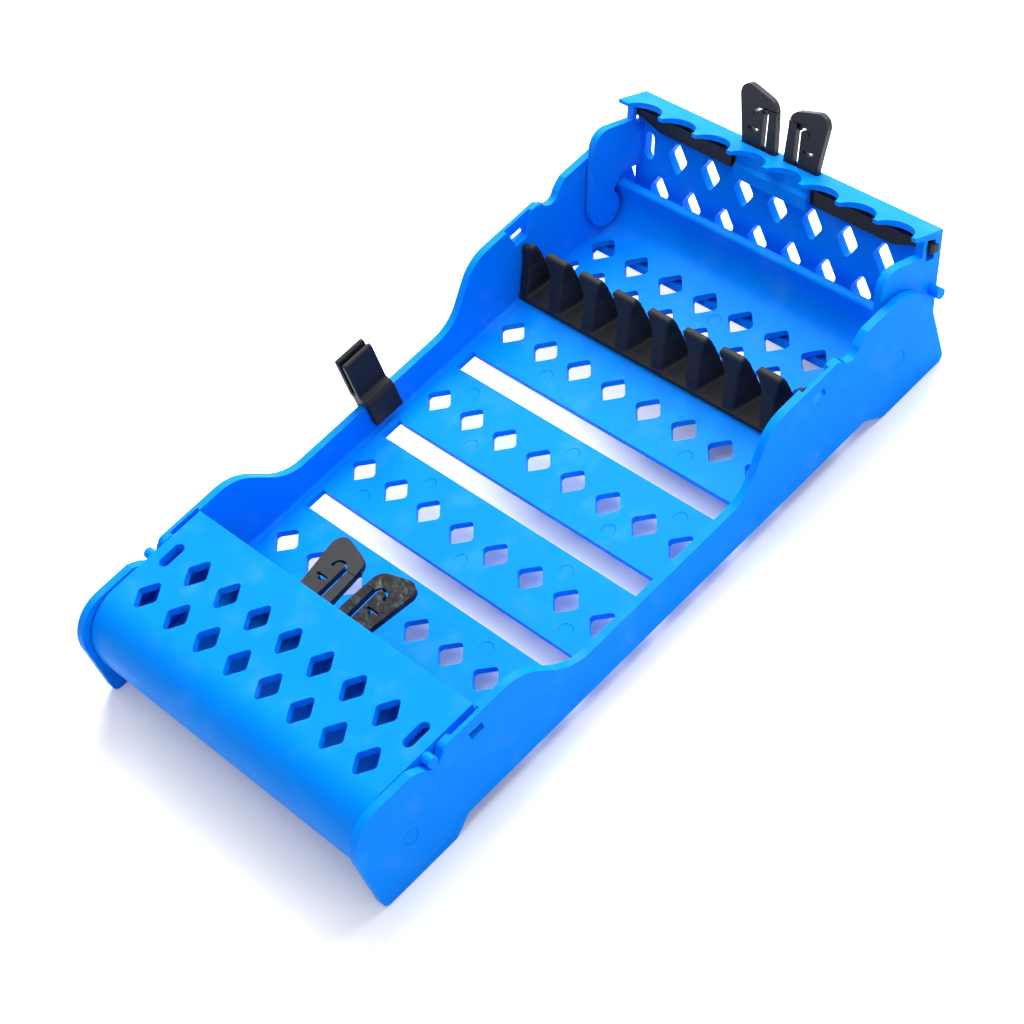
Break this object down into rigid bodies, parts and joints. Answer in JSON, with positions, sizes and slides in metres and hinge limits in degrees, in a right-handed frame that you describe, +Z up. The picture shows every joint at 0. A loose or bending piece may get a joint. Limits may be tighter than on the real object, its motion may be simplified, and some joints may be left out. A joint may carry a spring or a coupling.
{
  "type": "dental instrument cassette",
  "caption": "Perforated tray with hinged end covers, pinch latches, notched racks for hand instruments and a clip on one side wall.",
  "frame": {"origin": "middle of the whole outline, far cover open, on the surface that the feet stand on", "axes": "+Z up; +Y along the length towards the open cover; +X across, away from the wall with the clip"},
  "size_m": [0.1178, 0.2254, 0.052],
  "materials": {
    "tray_resin": "fine satin, moulded",
    "cover_resin": "fine satin, moulded",
    "latch_resin": "satin, moulded",
    "silicone": "soft matt"
  },
  "bodies": {
    "tray": {"tray": "tray_resin", "near_rack": "silicone", "far_rack": "silicone"},
    "near_cover": {"near_cover": "cover_resin", "near_left_leg": "latch_resin", "near_right_leg": "latch_resin"},
    "far_cover": {"far_cover": "cover_resin", "far_left_leg": "latch_resin", "far_right_leg": "latch_resin"},
    "near_left_latch": {"near_left_latch": "latch_resin"},
    "near_right_latch": {"near_right_latch": "latch_resin"},
    "far_left_latch": {"far_left_latch": "latch_resin"},
    "far_right_latch": {"far_right_latch": "latch_resin"},
    "clip": {"clip": "silicone"}
  },
  "joints": [
    {"name": "near_cover_hinge", "type": "hinge", "parent": "tray", "child": "near_cover", "pos_m": [0.00148, -0.09777, 0.01353], "axis": [1, 0, 0], "range_deg": [0, 114]},
    {"name": "far_cover_hinge", "type": "hinge", "parent": "tray", "child": "far_cover", "pos_m": [0.00148, 0.07917, 0.01353], "axis": [1, 0, 0], "range_deg": [0, 114]},
    {"name": "near_left_latch_slide", "type": "slide", "parent": "near_cover", "child": "near_left_latch", "axis": [1, 0, 0], "range_m": [0, 0.0015], "stiffness_N_per_m": 3000},
    {"name": "near_right_latch_slide", "type": "slide", "parent": "near_cover", "child": "near_right_latch", "axis": [-1, 0, 0], "range_m": [0, 0.0015], "stiffness_N_per_m": 3000},
    {"name": "far_left_latch_slide", "type": "slide", "parent": "far_cover", "child": "far_left_latch", "axis": [1, 0, 0], "range_m": [0, 0.0015], "stiffness_N_per_m": 3000},
    {"name": "far_right_latch_slide", "type": "slide", "parent": "far_cover", "child": "far_right_latch", "axis": [-1, 0, 0], "range_m": [0, 0.0015], "stiffness_N_per_m": 3000},
    {"name": "clip_slide", "type": "slide", "parent": "tray", "child": "clip", "axis": [0, 1, 0], "range_m": [-0.0222, 0.0178]}
  ]
}
